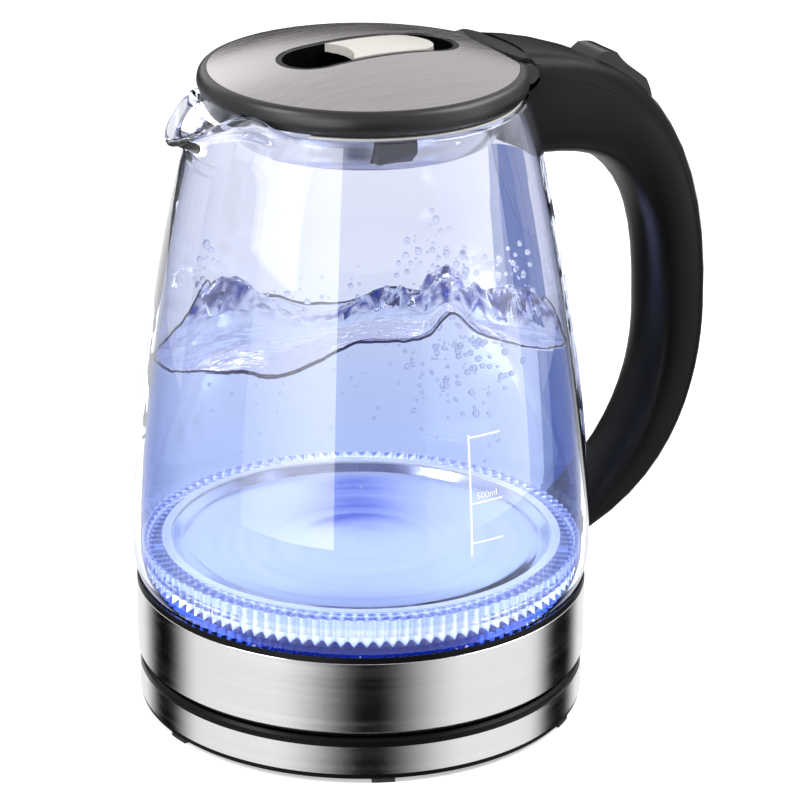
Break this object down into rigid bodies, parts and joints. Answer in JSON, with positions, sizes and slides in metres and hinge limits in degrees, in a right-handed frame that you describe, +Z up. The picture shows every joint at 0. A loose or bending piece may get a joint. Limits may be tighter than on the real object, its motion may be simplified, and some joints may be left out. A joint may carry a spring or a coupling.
{
  "type": "electric kettle",
  "caption": "Cordless glass jug kettle with a hinged steel lid, an illuminated ring and a loop handle, lifting off a round power base.",
  "frame": {"origin": "on the jug's vertical axis, in the plane of the base's rubber feet", "axes": "+Z up, +X towards the handle, -X towards the spout, so +Y is to the left of someone who holds the handle and looks at the spout from behind"},
  "size_m": [0.2204, 0.1622, 0.2389],
  "materials": {
    "black_plastic": "satin",
    "charcoal_plastic": "satin",
    "gloss_black": "gloss",
    "brushed_steel": "brushed",
    "polished_steel": "polished",
    "aluminium": "satin",
    "brass": "satin",
    "clear_glass": "clear",
    "crystal": "clear",
    "rubber": "matte",
    "silicone": "matte",
    "ceramic": "satin",
    "circuit_board": "satin",
    "champagne_plastic": "satin",
    "navy_plastic": "satin"
  },
  "bodies": {
    "power_base": {"base_tray": "black_plastic", "base_cover": "black_plastic", "base_trim": "polished_steel", "base_feet": "rubber", "base_connector": "black_plastic", "base_contacts": "brass", "cord_gland": "rubber", "base_screws": "polished_steel"},
    "contact_pin": {"live_pin": "brass"},
    "kettle": {"bottom_shell": "black_plastic", "body_band": "polished_steel", "support_ring": "black_plastic", "kettle_connector": "charcoal_plastic", "ring_contact": "brass", "thermostat": "ceramic", "bimetal_discs": "polished_steel", "heating_plate": "brushed_steel", "heat_spreader": "aluminium", "heating_element": "polished_steel", "plate_seal": "silicone", "light_ring": "crystal", "led_board": "circuit_board", "leds": "ceramic", "glass_jug": "clear_glass", "handle_grip": "black_plastic", "handle_cover": "black_plastic", "handle_screw": "polished_steel", "steam_switch": "ceramic", "switch_pin": "polished_steel"},
    "switch": {"switch_lever": "gloss_black"},
    "lid": {"lid_rim": "charcoal_plastic", "lid_plate": "brushed_steel", "lid_recess": "black_plastic", "lid_cup": "brushed_steel", "lid_gasket": "silicone", "catch_guide": "charcoal_plastic", "hinge_pin": "polished_steel"},
    "latch": {"latch_tab": "champagne_plastic", "latch_slider": "charcoal_plastic"},
    "catch_left": {"catch_left": "navy_plastic"},
    "catch_right": {"catch_right": "navy_plastic"}
  },
  "joints": [
    {"name": "kettle_lift", "type": "slide", "parent": "power_base", "child": "contact_pin", "axis": [0, 0, 1], "range_m": [0, 0.05]},
    {"name": "kettle_spin", "type": "hinge", "parent": "contact_pin", "child": "kettle", "pos_m": [0, 0, 0.017], "axis": [0, 0, 1], "continuous": true},
    {"name": "lid_hinge", "type": "hinge", "parent": "kettle", "child": "lid", "pos_m": [0.0515, 0, 0.228], "axis": [0, 1, 0], "range_deg": [0, 80]},
    {"name": "latch_slide", "type": "slide", "parent": "lid", "child": "latch", "axis": [1, 0, 0], "range_m": [0, 0.0064], "stiffness_N_per_m": 250, "springref_m": -0.004},
    {"name": "catch_left_slide", "type": "slide", "parent": "lid", "child": "catch_left", "axis": [0, -1, 0], "range_m": [0, 0.0032]},
    {"name": "catch_right_slide", "type": "slide", "parent": "lid", "child": "catch_right", "axis": [0, 1, 0], "range_m": [0, 0.0032]},
    {"name": "switch_rock", "type": "hinge", "parent": "kettle", "child": "switch", "pos_m": [0.104, 0, 0.204], "axis": [0, -1, 0], "range_deg": [0, 8]}
  ],
  "couplings": [
    {"joint": "catch_left_slide", "follows": "latch_slide", "ratio": 0.5},
    {"joint": "catch_right_slide", "follows": "latch_slide", "ratio": 0.5}
  ]
}
